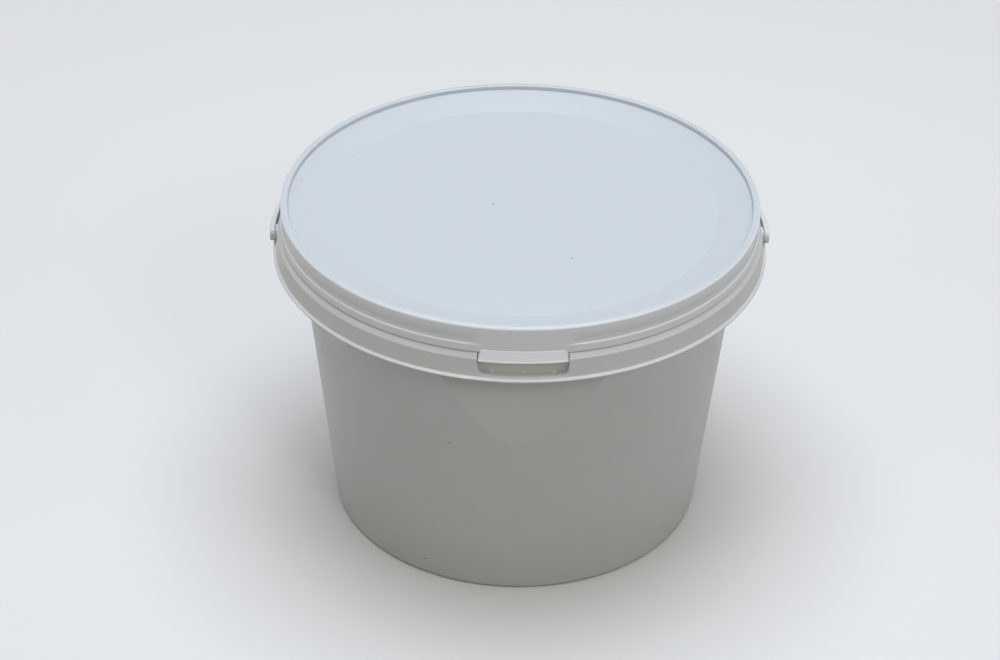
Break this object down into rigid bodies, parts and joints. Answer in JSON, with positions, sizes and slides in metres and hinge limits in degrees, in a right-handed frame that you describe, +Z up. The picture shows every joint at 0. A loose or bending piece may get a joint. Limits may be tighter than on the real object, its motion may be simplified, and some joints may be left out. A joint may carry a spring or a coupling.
{
  "type": "plastic bucket with lid",
  "caption": "Round white plastic food bucket with a clear press-on lid, an opening tab and a folding band handle.",
  "frame": {"origin": "centre of the bucket's base, on the plane it stands on", "axes": "+Z up along the bucket's axis, -Y towards the opening tab, X along the handle's pins"},
  "size_m": [0.2026, 0.2009, 0.1398],
  "materials": {
    "white_plastic": "white polypropylene, satin",
    "clear_plastic": "natural polypropylene, milky clear, satin",
    "handle_plastic": "white polypropylene, satin"
  },
  "bodies": {
    "bucket": {"bucket": "white_plastic"},
    "lid": {"lid": "clear_plastic"},
    "handle": {"handle": "handle_plastic"}
  },
  "joints": [
    {"name": "handle_swing", "type": "hinge", "parent": "bucket", "child": "handle", "pos_m": [0, 0, 0.122], "axis": [1, 0, 0], "range_deg": [0, 180]},
    {"name": "lid_lift", "type": "slide", "parent": "bucket", "child": "lid", "axis": [0, 0, 1], "range_m": [0, 0.04]}
  ]
}
